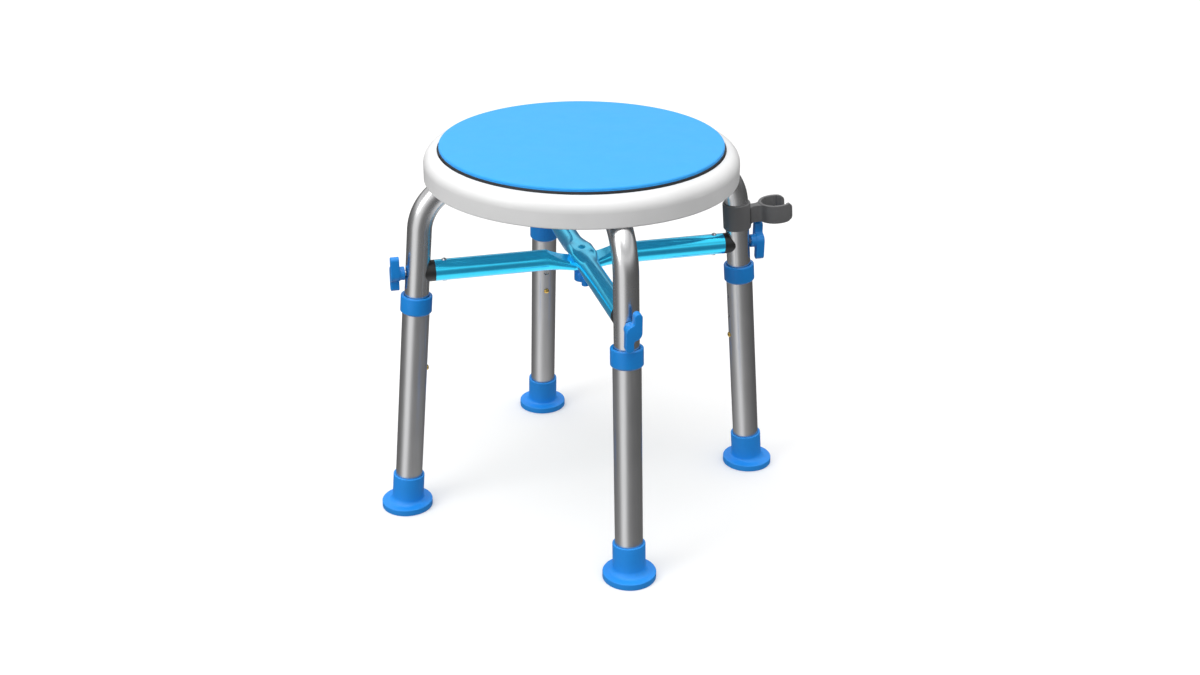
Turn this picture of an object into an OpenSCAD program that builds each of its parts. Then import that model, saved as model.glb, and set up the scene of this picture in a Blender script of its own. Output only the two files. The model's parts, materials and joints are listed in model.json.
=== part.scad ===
// Shower stool: a round seat with a swivelling pad on four telescopic legs, a crossed brace
// clamped by hand knobs, and a clip for a shower handset on one leg.
// Millimetres, +Z up. The origin is on the floor, on the seat's axis. The legs stand on the
// diagonals: front at -45 degrees, right at 45, back at 135 and left at -135.

/* [Seat] */
// Outer radius of the seat
seat_r = 162.5; // [160:0.5:166]
// Height of the skirt's lower edge above the floor
skirt_z = 365.4; // [364:0.1:366]
// Height of the rim's crest above the floor
rim_z = 395.5; // [395:0.1:396]
// Radius of the rim's rounded shoulder
shoulder_r = 14; // [13.5:0.1:14.5]
// Wall of the seat shell
shell_t = 3.2; // [3:0.1:3.4]
// Radius of the soft pad
pad_r = 146.4; // [142:0.2:146.4]
// Height of the pad's top, the stool's sitting height
pad_top_z = 401.3; // [400.5:0.1:403]

/* [Legs] */
// Radius of the circle that the feet stand on
foot_circle_r = 197.7; // [197:0.1:198.5]
// Angle by which each leg leans outwards, in degrees
leg_tilt = 4.8; // [4.7:0.05:4.9]
// Outer diameter of the upper leg tube and of its bend
upper_d = 25.4; // [25:0.1:25.4]
// Outer diameter of the lower leg tube
lower_d = 28.6; // [28.6:0.1:29]
// Wall of all the tubes
tube_t = 1.2; // [1:0.1:1.2]
// Radius of the leg's bend, at the tube's centre line
bend_r = 51.8; // [51:0.1:52]
// Height of the horizontal top end of the leg, at the tube's centre line
stub_z = 367.4; // [367:0.1:367.5]
// Distance between height notches
notch_pitch = 24; // [20:0.5:25]
// Number of height notches
notches = 3; // [2:1:3]

/* [Brace] */
// Height of the brace above the floor
brace_z = 273.8; // [273:0.1:275]
// Outer diameter of the brace tubes
brace_d = 22.2; // [21.5:0.1:22.2]
// Width of a brace tube where it is pressed flat
flat_w = 28.5; // [26:0.5:30]

/* [Handset holder] */
// Inner radius of the clip
clip_r = 15; // [14:0.1:15.4]
// Distance from the leg's axis to the clip's axis
clip_reach = 44.1; // [44:0.1:48]
// Height of the clip
clip_h = 20; // [16:0.5:21]

/* [Hidden] */
$fn = 64;
fit_gap = 0.05;
hole_gap = 0.1;
slide_gap = 0.4;
skin_t = 0.8;
overcut = 1;
thin = 0.01;
lap = 0.4;
lap_step = 0.05;

azimuths = [-45, 45, 135, -135];
right_az = azimuths[1];

// the leg: its axis, and the bend at its top
function leg_r(z) = foot_circle_r - z * tan(leg_tilt);
function along(z) = z / cos(leg_tilt);
upper_r = upper_d / 2;
lower_r = lower_d / 2;
bend_cz = stub_z - bend_r;
bend_cr = leg_r(bend_cz) - bend_r / cos(leg_tilt);
bend_s = along(bend_cz + bend_r * sin(leg_tilt));
upper_low_s = along(112);
stub_end_r = 66;

// lower leg, collar, foot and height button, measured along the leg
lower_low_s = 5;
lower_high_s = along(246.5);
collar_low_s = along(229.3);
collar_high_s = along(248.8);
collar_r = 16.5;
sleeve_r = 16.85;
sleeve_high_s = along(38.5);
flange_r = 27.45;
flange_h = 6;
flange_round = 1.5;
foot_fillet = 8.5;
button_s = along(165);
button_r = 2.85;
button_hole_r = 3.15;
button_proud = 2;
spring_x = 10.2;
spring_t = 0.6;
spring_w = 8;
spring_low_s = button_s - 14;
spring_high_s = button_s + 16;

// seat, from the top down
lip_gap_r = 148.3;
plate_r = 146.9;
plate_z = 394.2;
plate_top_z = 397.5;
recess_z = 388;
deck_t = 3.5;
deck_z = recess_z - deck_t;
leg_slot_gap = 0.35;
rib_low_z = 374;
rib_t = 2.4;

// ball bearing and pivot
ball_r = 2;
ball_ring_r = 62;
ball_count = 24;
cage_w = 10;
cage_t = 1;
race_in_r = 52;
race_out_r = 72;
race_t = 2.2;
ball_z = (recess_z + plate_z) / 2;
groove_r = ball_r + 0.06;
race_seat_w = 2.4;
race_seat_h = 1.6;
pivot_r = 4;
pivot_hole_r = pivot_r + 0.2;
pivot_head_r = 7;
pivot_head_h = 2;
pivot_hex_r = 2.9;
pivot_spare = 1.5;
washer_r = 11;
washer_z = 393.7;
washer_t = 1.2;
boss_r = 14.5;
boss_gap = 0.3;
nut_h = 6;
nut_r = 7.5;

// underframe that the legs push into
hub_r = 64;
hub_t = 3.5;
hub_z = deck_z - hub_t;
socket_r = 15.6;
socket_in_r = 64;
socket_out_r = 118;
wing_w = 44;
wing_in_r = 44;
leg_bolt_r = 2.5;
leg_bolt_head_r = 4.4;
leg_bolt_head_h = 3;
leg_bolt_at = 92;
frame_screw_r = 2;
frame_screw_head_r = 3.1;
frame_screw_head_h = 2;
frame_screw_at = [108, 18.8];

// brace, saddles and hand knobs
brace_r = brace_d / 2;
brace_end = 157;
crimp_outer = 38.5;
crimp_inner = 11;
pin_at = 146.8;
pin_r = 2;
pin_head_r = 2.8;
pin_head_h = 2;
stud_r = 3;
stud_in_r = 150.4;
stud_grip = 5;
saddle_in_r = 139;
captive_at = 151.5;
captive_t = 5;
captive_flats = 10;
knob_from = leg_r(brace_z) + upper_r + 0.9;
knob_bar_from = 194;
knob_bar_t = 9;
knob_half = 20;
knob_arm_w = 8;
knob_stem_r = 7;
centre_stem = 6;
centre_gap = 0.3;
centre_turn = -30;
centre_head_r = 4.4;
centre_head_h = 2;

// handset holder, in the frame of the right leg
holder_bore_r = upper_r + hole_gap;
holder_r = 15;
holder_low_s = along(291);
holder_high_s = along(319.5);
clip_low_s = along(298) - clip_reach * tan(leg_tilt);
clip_t = 3.4;
clip_mouth = 80;
neck_w = 9;
neck_inset = 3;
lip_r = 2.4;
lip_at = clip_r + clip_t / 2 + 0.4;
lip_turn = 4;
clip_groove_r = 0.9;
groove_deg = [110, 150, 210, 250];

blue = [0.13, 0.5, 0.85];
pad_blue = [0.33, 0.72, 1];
satin = [0.62, 0.62, 0.63];
steel = [0.75, 0.75, 0.77];
cyan = [0.2, 0.82, 0.95];
charcoal = [0.3, 0.3, 0.31];

// Places the children in the vertical plane of a leg: x outwards, z up
module leg_plane(az)
    rotate([0, 0, az])
        children();

// Places the children in the leg's own frame: z up along the leg's axis, x outwards
module on_leg(az)
    leg_plane(az)
        translate([foot_circle_r, 0, 0])
            rotate([0, -leg_tilt, 0])
                children();

// Cylinder that lies along x, from one distance to another, at a height
module rod(from, to, r, z)
    translate([from, 0, z])
        rotate([0, 90, 0])
            cylinder(r = r, h = to - from);

// Flat ring or disc between two radii
module ring(inner, outer, low, high)
    rotate_extrude($fn = 96)
        translate([inner, low])
            square([outer - inner, high - low]);

// Solid round bar along an upper leg: straight, round the bend and in to the stub's end. The
// bend is a hair thinner than the straight lengths that lap over it, as a bent tube is.
module leg_bar(az, r, spare = 0) {
    on_leg(az)
        translate([0, 0, upper_low_s - spare])
            cylinder(r = r, h = bend_s + lap - upper_low_s + spare);
    leg_plane(az) {
        translate([bend_cr, 0, bend_cz])
            rotate([90, 0, 0])
                rotate([0, 0, leg_tilt])
                    rotate_extrude(angle = 90 - leg_tilt, $fn = 96)
                        translate([bend_r, 0])
                            circle(r = r - lap_step);
        rod(stub_end_r - spare, bend_cr + lap, r, stub_z);
    }
}

module seat_profile() {
    core_r = seat_r - shoulder_r;
    shoulder_z = rim_z - shoulder_r;
    channel_r = lip_gap_r + shell_t;
    difference() {
        union() {
            translate([pivot_hole_r, skirt_z + shell_t / 2])
                square([core_r - pivot_hole_r, rim_z - skirt_z - shell_t / 2]);
            translate([core_r, skirt_z + shell_t / 2])
                square([shoulder_r, shoulder_z - skirt_z - shell_t / 2]);
            translate([core_r, shoulder_z])
                circle(r = shoulder_r, $fn = 96);
            translate([seat_r - shell_t / 2, skirt_z + shell_t / 2])
                circle(r = shell_t / 2);
        }
        square([channel_r, deck_z]);
        square([seat_r - shell_t, shoulder_z]);
        intersection() {
            translate([core_r, shoulder_z])
                circle(r = shoulder_r - shell_t, $fn = 96);
            translate([channel_r, skirt_z])
                square([shoulder_r, rim_z - skirt_z]);
        }
        translate([0, recess_z])
            square([lip_gap_r, rim_z - recess_z + overcut]);
    }
}

module seat_shell() {
    rib_in_r = 76;
    rib_out_r = seat_r - shell_t + lap;
    color("white")
        difference() {
            union() {
                rotate_extrude($fn = 128)
                    seat_profile();
                for (side = [0:90:270], turn = [-22, 0, 22])
                    rotate([0, 0, side + turn])
                        translate([rib_in_r, -rib_t / 2, rib_low_z])
                            cube([rib_out_r - rib_in_r, rib_t, deck_z - rib_low_z + overcut]);
                race_seat(recess_z - lap, recess_z + race_seat_h);
            }
            for (az = azimuths) {
                leg_bar(az, upper_r + leg_slot_gap);
                frame_screw_places(az)
                    cylinder(r = frame_screw_r, h = deck_z + deck_t - skin_t);
            }
        }
}

// Two low rings that hold a bearing race between them
module race_seat(low, high) {
    ring(race_in_r - race_seat_w, race_in_r - hole_gap, low, high);
    ring(race_out_r + hole_gap, race_out_r + race_seat_w, low, high);
}

// Two screw places on each wing of the underframe, with their z at the floor
module frame_screw_places(az)
    leg_plane(az)
        for (side = [-1, 1])
            translate([frame_screw_at[0], side * frame_screw_at[1], 0])
                children();

module leg_socket_frame() {
    color("whitesmoke")
        difference() {
            union() {
                translate([0, 0, hub_z])
                    cylinder(r = hub_r, h = hub_t);
                for (az = azimuths)
                    leg_plane(az) {
                        translate([wing_in_r, -wing_w / 2, hub_z])
                            cube([socket_out_r - wing_in_r, wing_w, hub_t]);
                        translate([socket_in_r, -socket_r, stub_z])
                            cube([socket_out_r - socket_in_r, 2 * socket_r, deck_z - stub_z]);
                        rod(socket_in_r, socket_out_r, socket_r, stub_z);
                    }
            }
            translate([0, 0, hub_z - overcut])
                cylinder(r = pivot_hole_r, h = hub_t + 2 * overcut);
            for (az = azimuths) {
                leg_plane(az) {
                    rod(stub_end_r - hole_gap, socket_out_r + overcut, upper_r + fit_gap, stub_z);
                    translate([leg_bolt_at, 0, stub_z - socket_r - overcut])
                        cylinder(r = leg_bolt_r + hole_gap, h = 2 * socket_r + overcut - skin_t);
                }
                frame_screw_places(az)
                    translate([0, 0, hub_z - overcut])
                        cylinder(r = frame_screw_r + hole_gap, h = hub_t + 2 * overcut);
            }
        }
}

// Screw with a hexagon recess: its head stands below z = 0 and its shank rises to a height
module screw_up(shank_r, head_r, head_h, rise) {
    recess_r = 0.45 * head_r;
    recess_d = 0.5 * head_h;
    cylinder(r = shank_r, h = rise);
    translate([0, 0, -head_h])
        difference() {
            cylinder(r = head_r, h = head_h);
            translate([0, 0, -overcut])
                cylinder(r = recess_r, h = overcut + recess_d, $fn = 6);
        }
}

module frame_screws()
    color(steel)
        for (az = azimuths)
            frame_screw_places(az)
                translate([0, 0, hub_z])
                    screw_up(frame_screw_r - fit_gap, frame_screw_head_r, frame_screw_head_h,
                             hub_t + deck_t - 1.25 * skin_t);

module leg_bolts()
    color(steel)
        for (az = azimuths)
            leg_plane(az)
                translate([leg_bolt_at, 0, stub_z - socket_r])
                    screw_up(leg_bolt_r, leg_bolt_head_r, leg_bolt_head_h,
                             2 * socket_r - 1.25 * skin_t);

module swivel_pad()
    color(pad_blue)
        translate([0, 0, plate_top_z])
            cylinder(r = pad_r, h = pad_top_z - plate_top_z, $fn = 128);

module swivel_plate() {
    skirt_t = 2.7;
    skirt_low_z = recess_z + 1.6;
    plate_rib_low_z = recess_z + 2;
    plate_rib_in_r = race_out_r + 2;
    plate_rib_t = 2;
    counterbore_r = washer_r + 0.6;
    color(charcoal)
        difference() {
            union() {
                ring(pivot_r + fit_gap, plate_r, plate_z, plate_top_z);
                ring(plate_r - skirt_t, plate_r, skirt_low_z, plate_z);
                ring(pivot_r + fit_gap, boss_r, recess_z + boss_gap, plate_z);
                race_seat(plate_z - race_seat_h, plate_z);
                for (turn = [0:30:330])
                    rotate([0, 0, turn])
                        translate([plate_rib_in_r, -plate_rib_t / 2, plate_rib_low_z])
                            cube([plate_r - skirt_t / 2 - plate_rib_in_r, plate_rib_t,
                                  plate_z - plate_rib_low_z + lap]);
            }
            translate([0, 0, washer_z - hole_gap])
                cylinder(r = counterbore_r, h = plate_top_z - washer_z + overcut);
        }
}

module race(low_z)
    color(steel)
        rotate_extrude($fn = 96)
            difference() {
                translate([race_in_r, low_z])
                    square([race_out_r - race_in_r, race_t]);
                translate([ball_ring_r, ball_z])
                    circle(r = groove_r);
            }

// Places the children at each ball of the bearing
module at_balls()
    for (i = [0:ball_count - 1])
        rotate([0, 0, i * 360 / ball_count])
            translate([ball_ring_r, 0, ball_z])
                children();

module bearing_balls()
    color("silver")
        at_balls()
            sphere(r = ball_r, $fn = 24);

module ball_cage()
    color("ivory")
        difference() {
            ring(ball_ring_r - cage_w / 2, ball_ring_r + cage_w / 2, ball_z - cage_t / 2,
                 ball_z + cage_t / 2);
            at_balls()
                translate([0, 0, -overcut])
                    cylinder(r = ball_r + hole_gap, h = 2 * overcut, $fn = 24);
        }

module pivot_bolt() {
    low_z = hub_z - nut_h - pivot_spare;
    head_z = washer_z + washer_t;
    color(steel)
        difference() {
            union() {
                translate([0, 0, low_z])
                    cylinder(r = pivot_r, h = head_z - low_z);
                translate([0, 0, head_z])
                    cylinder(r = pivot_head_r, h = pivot_head_h);
            }
            translate([0, 0, head_z + skin_t])
                cylinder(r = pivot_hex_r, h = pivot_head_h, $fn = 6);
        }
}

module pivot_washer()
    color(steel)
        ring(pivot_r + fit_gap, washer_r, washer_z, washer_z + washer_t);

module pivot_nut()
    color(steel)
        translate([0, 0, hub_z - nut_h])
            difference() {
                cylinder(r = nut_r, h = nut_h, $fn = 6);
                translate([0, 0, -overcut])
                    cylinder(r = pivot_r + fit_gap, h = nut_h + 2 * overcut);
            }

module upper_leg(az) {
    stud_hole_from = leg_r(brace_z) - 2 * upper_r;
    color(satin)
        difference() {
            leg_bar(az, upper_r);
            leg_bar(az, upper_r - tube_t, overcut);
            on_leg(az)
                translate([-upper_r - overcut, 0, button_s])
                    rotate([0, 90, 0])
                        cylinder(r = button_hole_r, h = upper_r);
            leg_plane(az) {
                rod(stud_hole_from, stud_hole_from + 4 * upper_r, stud_r + slide_gap, brace_z);
                translate([leg_bolt_at, 0, stub_z - socket_r])
                    cylinder(r = leg_bolt_r + hole_gap, h = 2 * socket_r);
            }
        }
}

module lower_leg(az)
    color(satin)
        on_leg(az)
            difference() {
                translate([0, 0, lower_low_s])
                    cylinder(r = lower_r, h = lower_high_s - lower_low_s);
                translate([0, 0, lower_low_s - overcut])
                    cylinder(r = lower_r - tube_t, h = lower_high_s - lower_low_s + 2 * overcut);
                for (i = [0:notches - 1])
                    translate([-lower_r - overcut, 0, button_s + i * notch_pitch])
                        rotate([0, 90, 0])
                            cylinder(r = button_hole_r, h = lower_r);
            }

module collar(az) {
    collar_h = collar_high_s - collar_low_s;
    seat_h = lower_high_s - collar_low_s;
    chamfer = 1.8;
    round_r = 1.2;
    color(blue)
        on_leg(az)
            translate([0, 0, collar_low_s])
                rotate_extrude()
                    difference() {
                        union() {
                            translate([0, chamfer])
                                square([collar_r, collar_h - chamfer - round_r]);
                            polygon([[0, 0], [collar_r - chamfer, 0], [collar_r, chamfer],
                                     [0, chamfer]]);
                            translate([0, collar_h - 2 * round_r])
                                square([collar_r - round_r, 2 * round_r]);
                            translate([collar_r - round_r, collar_h - round_r])
                                circle(r = round_r);
                        }
                        translate([0, -overcut])
                            square([lower_r + fit_gap, seat_h + overcut]);
                        square([upper_r + slide_gap, collar_h + overcut]);
                    }
}

module foot(az) {
    tread_d = 0.8;
    tread_w = 2.2;
    tread_rs = [9, 15, 21];
    fillet_out = sleeve_r + foot_fillet;
    color(blue)
        difference() {
            union() {
                leg_plane(az)
                    translate([foot_circle_r, 0, 0])
                        rotate_extrude()
                            difference() {
                                union() {
                                    square([flange_r, flange_h - flange_round]);
                                    square([flange_r - flange_round, flange_h]);
                                    translate([flange_r - flange_round, flange_h - flange_round])
                                        circle(r = flange_round);
                                    square([fillet_out, flange_h + foot_fillet]);
                                }
                                translate([fillet_out, flange_h + foot_fillet])
                                    circle(r = foot_fillet);
                                for (r = tread_rs)
                                    translate([r, -overcut])
                                        square([tread_w, tread_d + overcut]);
                            }
                on_leg(az)
                    translate([0, 0, lower_low_s])
                        cylinder(r = sleeve_r, h = sleeve_high_s - lower_low_s);
            }
            on_leg(az)
                translate([0, 0, lower_low_s])
                    cylinder(r = lower_r + fit_gap, h = sleeve_high_s);
        }
}

// Round pin with a domed tip that looks out through the lowest height hole
module height_button(az) {
    tip_x = lower_r + button_proud;
    dome_r = 4;
    dome_drop = dome_r - sqrt(dome_r * dome_r - button_r * button_r);
    color("goldenrod")
        on_leg(az)
            translate([0, 0, button_s])
                rotate([0, -90, 0]) {
                    translate([0, 0, spring_x + spring_t])
                        cylinder(r = button_r, h = tip_x - dome_drop - spring_x - spring_t);
                    intersection() {
                        translate([0, 0, tip_x - dome_r])
                            sphere(r = dome_r, $fn = 48);
                        translate([0, 0, tip_x - dome_drop - lap])
                            cylinder(r = button_r, h = dome_r);
                    }
                }
}

// Hairpin of spring steel that pushes the button out
module button_spring(az)
    color(steel)
        on_leg(az) {
            for (x = [-spring_x - spring_t, spring_x])
                translate([x, -spring_w / 2, spring_low_s])
                    cube([spring_t, spring_w, spring_high_s - spring_low_s]);
            translate([0, spring_w / 2, spring_high_s])
                rotate([90, 0, 0])
                    rotate_extrude(angle = 180)
                        translate([spring_x, 0])
                            square([spring_t, spring_w]);
        }

// Outline of a hand knob: a round hub with one arm up on the right and one down on the left
module knob_outline()
    union() {
        circle(r = knob_arm_w);
        for (turn = [0, 180])
            rotate([0, 0, turn]) {
                square([knob_arm_w, knob_half - knob_arm_w / 2]);
                translate([knob_arm_w / 2, knob_half - knob_arm_w / 2])
                    circle(r = knob_arm_w / 2);
            }
    }

// Hand knob on its own axis: its stem starts at z = 0 and its bar lies beyond the stem
module knob(stem, bore_to)
    color(blue)
        difference() {
            union() {
                cylinder(r = knob_stem_r, h = stem);
                translate([0, 0, stem])
                    linear_extrude(knob_bar_t)
                        knob_outline();
            }
            translate([0, 0, -overcut])
                cylinder(r = stud_r + fit_gap, h = bore_to + overcut);
        }

module hand_knob(az)
    leg_plane(az)
        translate([knob_from, 0, brace_z])
            rotate([90, 0, 90])
                knob(knob_bar_from - knob_from, knob_bar_from - knob_from + stud_grip);

module knob_stud(az)
    color(steel)
        leg_plane(az)
            rod(stud_in_r, knob_bar_from + stud_grip, stud_r, brace_z);

// Black end of a brace tube: a spigot in the tube and a saddle cut to fit the leg
module brace_saddle(az) {
    saddle_out_r = leg_r(brace_z) - upper_r / 2 + 1;
    cut_h = 4 * brace_d;
    color([0.12, 0.12, 0.12])
        difference() {
            leg_plane(az) {
                rod(saddle_in_r, brace_end, brace_r - tube_t - fit_gap, brace_z);
                rod(brace_end, saddle_out_r, brace_r, brace_z);
            }
            on_leg(az)
                translate([0, 0, along(brace_z) - cut_h / 2])
                    cylinder(r = upper_r + fit_gap, h = cut_h);
            leg_plane(az) {
                rod(stud_in_r - overcut, leg_r(brace_z), stud_r + 0.3, brace_z);
                translate([captive_at - fit_gap, 0, brace_z])
                    rotate([0, 90, 0])
                        cylinder(r = captive_flats / sqrt(3) + fit_gap, $fn = 6,
                                 h = captive_t + 2 * fit_gap);
                translate([pin_at, 0, brace_z - brace_r])
                    cylinder(r = pin_r + fit_gap, h = brace_d);
            }
        }
}

module saddle_nuts()
    color(steel)
        for (az = azimuths)
            leg_plane(az)
                difference() {
                    translate([captive_at, 0, brace_z])
                        rotate([0, 90, 0])
                            cylinder(r = captive_flats / sqrt(3), h = captive_t, $fn = 6);
                    rod(captive_at - overcut, captive_at + captive_t + overcut,
                        stud_r + fit_gap, brace_z);
                }

// Low domed head that stands on z = 0
module dome(r, h) {
    round_r = (r * r + h * h) / (2 * h);
    intersection() {
        translate([0, 0, h - round_r])
            sphere(r = round_r, $fn = 48);
        cylinder(r = r + overcut, h = h + overcut);
    }
}

// Headed pins that go down through the tube ends and their saddles
module saddle_pins()
    color("gainsboro")
        for (az = azimuths)
            leg_plane(az)
                translate([pin_at, 0, brace_z]) {
                    translate([0, 0, -brace_r])
                        cylinder(r = pin_r, h = brace_d);
                    for (flip = [0, 1])
                        mirror([0, 0, flip])
                            translate([0, 0, brace_r])
                                dome(pin_head_r, pin_head_h);
                }

// Flattened section of a brace tube, standing on the y axis, shrunk by a wall
module flat_outline(wall) {
    end_r = brace_r / 2 - wall;
    reach = flat_w / 2 - brace_r / 2;
    translate([0, brace_r / 2]) {
        translate([-reach, -end_r])
            square([2 * reach, 2 * end_r]);
        for (side = [-1, 1])
            translate([side * reach, 0])
                circle(r = end_r, $fn = 48);
    }
}

// Solid core of a brace tube: round ends, a pressed flat middle and a taper between them
module brace_core(wall, spare) {
    for (side = [0, 180])
        rotate([0, 0, side]) {
            rod(crimp_outer, brace_end + spare, brace_r - wall, 0);
            hull() {
                rod(crimp_outer - thin, crimp_outer, brace_r - wall, 0, $fn = 48);
                translate([crimp_inner, 0, 0])
                    rotate([90, 0, 90])
                        linear_extrude(thin)
                            flat_outline(wall);
            }
        }
    translate([-crimp_inner, 0, 0])
        rotate([90, 0, 90])
            linear_extrude(2 * crimp_inner)
                flat_outline(wall);
}

// Brace tube along x, with its middle pressed up so that another one passes below
module brace_tube()
    color(cyan)
        difference() {
            brace_core(0, 0);
            brace_core(tube_t, overcut);
            translate([0, 0, -brace_d])
                cylinder(r = stud_r + 2 * hole_gap, h = 2 * brace_d);
            for (side = [-1, 1])
                translate([side * pin_at, 0, -brace_d])
                    cylinder(r = pin_r + hole_gap, h = 2 * brace_d);
        }

module brace_tube_upper()
    translate([0, 0, brace_z])
        rotate([0, 0, azimuths[0]])
            brace_tube();

module brace_tube_lower()
    translate([0, 0, brace_z])
        rotate([0, 0, right_az])
            mirror([0, 0, 1])
                brace_tube();

module centre_bolt() {
    bolt_drop = brace_r + centre_stem + 4;
    color(steel)
        translate([0, 0, brace_z]) {
            translate([0, 0, -bolt_drop])
                cylinder(r = stud_r, h = bolt_drop + brace_r);
            translate([0, 0, brace_r])
                dome(centre_head_r, centre_head_h);
        }
}

module centre_knob()
    translate([0, 0, brace_z - brace_r - centre_gap])
        rotate([180, 0, 0])
            rotate([0, 0, centre_turn])
                knob(centre_stem, centre_stem + stud_grip);

// Outline of the holder's open clip, seen along the leg, with rounded lips at its mouth
module clip_outline() {
    clip_out_r = clip_r + clip_t;
    mouth_far = 2 * clip_out_r;
    half = clip_mouth / 2;
    difference() {
        union() {
            difference() {
                circle(r = clip_out_r);
                polygon([[0, 0], mouth_far * [cos(half), sin(half)],
                         mouth_far * [cos(half), -sin(half)]]);
            }
            for (side = [-1, 1])
                rotate([0, 0, side * (half + lip_turn)])
                    translate([lip_at, 0])
                        circle(r = lip_r, $fn = 32);
        }
        circle(r = clip_r);
        for (turn = groove_deg)
            rotate([0, 0, turn])
                translate([clip_r, 0])
                    circle(r = clip_groove_r, $fn = 24);
    }
}

// Sleeve on the right leg with a neck and an open clip for the handset's handle
module handset_holder()
    color(charcoal)
        on_leg(right_az)
            difference() {
                union() {
                    translate([0, 0, holder_low_s])
                        cylinder(r = holder_r, h = holder_high_s - holder_low_s);
                    translate([upper_r, -neck_w / 2, clip_low_s + neck_inset / 2])
                        cube([clip_reach - upper_r - clip_r - 1, neck_w, clip_h - neck_inset]);
                    translate([clip_reach, 0, clip_low_s])
                        linear_extrude(clip_h)
                            clip_outline();
                }
                translate([0, 0, holder_low_s - overcut])
                    cylinder(r = holder_bore_r, h = holder_high_s - holder_low_s + 2 * overcut);
            }

seat_shell();
leg_socket_frame();
frame_screws();
leg_bolts();
swivel_pad();
swivel_plate();
race(recess_z);  // bearing_lower_race
race(plate_z - race_t);  // bearing_upper_race
bearing_balls();
ball_cage();
pivot_bolt();
pivot_washer();
pivot_nut();
upper_leg(azimuths[0]);  // upper_leg_front
upper_leg(azimuths[1]);  // upper_leg_right
upper_leg(azimuths[2]);  // upper_leg_back
upper_leg(azimuths[3]);  // upper_leg_left
lower_leg(azimuths[0]);  // lower_leg_front
lower_leg(azimuths[1]);  // lower_leg_right
lower_leg(azimuths[2]);  // lower_leg_back
lower_leg(azimuths[3]);  // lower_leg_left
collar(azimuths[0]);  // collar_front
collar(azimuths[1]);  // collar_right
collar(azimuths[2]);  // collar_back
collar(azimuths[3]);  // collar_left
foot(azimuths[0]);  // foot_front
foot(azimuths[1]);  // foot_right
foot(azimuths[2]);  // foot_back
foot(azimuths[3]);  // foot_left
height_button(azimuths[0]);  // height_button_front
height_button(azimuths[1]);  // height_button_right
height_button(azimuths[2]);  // height_button_back
height_button(azimuths[3]);  // height_button_left
button_spring(azimuths[0]);  // button_spring_front
button_spring(azimuths[1]);  // button_spring_right
button_spring(azimuths[2]);  // button_spring_back
button_spring(azimuths[3]);  // button_spring_left
hand_knob(azimuths[0]);  // hand_knob_front
hand_knob(azimuths[1]);  // hand_knob_right
hand_knob(azimuths[2]);  // hand_knob_back
hand_knob(azimuths[3]);  // hand_knob_left
knob_stud(azimuths[0]);  // knob_stud_front
knob_stud(azimuths[1]);  // knob_stud_right
knob_stud(azimuths[2]);  // knob_stud_back
knob_stud(azimuths[3]);  // knob_stud_left
brace_saddle(azimuths[0]);  // brace_saddle_front
brace_saddle(azimuths[1]);  // brace_saddle_right
brace_saddle(azimuths[2]);  // brace_saddle_back
brace_saddle(azimuths[3]);  // brace_saddle_left
brace_tube_upper();
brace_tube_lower();
saddle_nuts();
saddle_pins();
centre_bolt();
centre_knob();
handset_holder();
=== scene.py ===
"""Looks of the shower stool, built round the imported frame: camera, studio, materials and fine meshes.

Lengths are metres unless a name says otherwise. The axes are the frame's: z is up, and the floor is at 0.
"""

import json
import math

import bmesh
import bpy
from mathutils import Matrix, Vector

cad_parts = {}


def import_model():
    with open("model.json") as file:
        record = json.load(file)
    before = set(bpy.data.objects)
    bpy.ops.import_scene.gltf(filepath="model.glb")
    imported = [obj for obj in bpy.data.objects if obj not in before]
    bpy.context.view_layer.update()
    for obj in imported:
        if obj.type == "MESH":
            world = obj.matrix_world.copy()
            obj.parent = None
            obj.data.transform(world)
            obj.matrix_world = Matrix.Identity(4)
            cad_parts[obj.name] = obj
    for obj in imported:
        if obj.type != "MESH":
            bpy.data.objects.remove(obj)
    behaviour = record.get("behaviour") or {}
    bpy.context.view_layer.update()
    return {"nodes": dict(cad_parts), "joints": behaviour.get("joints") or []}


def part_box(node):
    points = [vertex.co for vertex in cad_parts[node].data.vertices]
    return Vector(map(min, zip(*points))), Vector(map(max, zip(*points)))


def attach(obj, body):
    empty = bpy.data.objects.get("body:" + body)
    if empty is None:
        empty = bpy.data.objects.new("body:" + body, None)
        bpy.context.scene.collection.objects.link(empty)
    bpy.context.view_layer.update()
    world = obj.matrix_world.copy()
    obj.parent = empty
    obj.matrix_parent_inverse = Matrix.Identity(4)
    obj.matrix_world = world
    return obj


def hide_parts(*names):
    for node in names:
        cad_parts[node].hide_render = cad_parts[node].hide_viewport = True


MM = 0.001
SIDES = ("front", "right", "back", "left")
ROUND = 96  # vertices round a tube, a collar or a foot
WIDE_ROUND = 256  # vertices round the pad
NOISE_LOW, NOISE_HIGH = 0.3, 0.7  # where a noise texture's values mostly lie

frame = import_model()
nodes = frame["nodes"]
joints = {joint["name"]: joint for joint in frame["joints"]}


# ---------------------------------------------------------------------------------------------
# Colours and materials
# ---------------------------------------------------------------------------------------------

def linear(red, green, blue):
    """A colour given in display values from 0 to 255, as the linear RGBA that a shader takes."""
    def one(value):
        value /= 255
        return value / 12.92 if value <= 0.04045 else ((value + 0.055) / 1.055) ** 2.4
    return one(red), one(green), one(blue), 1


def shade(colour, factor):
    """The colour made darker or lighter by a factor."""
    return tuple(min(1, part * factor) for part in colour[:3]) + (1,)


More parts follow.
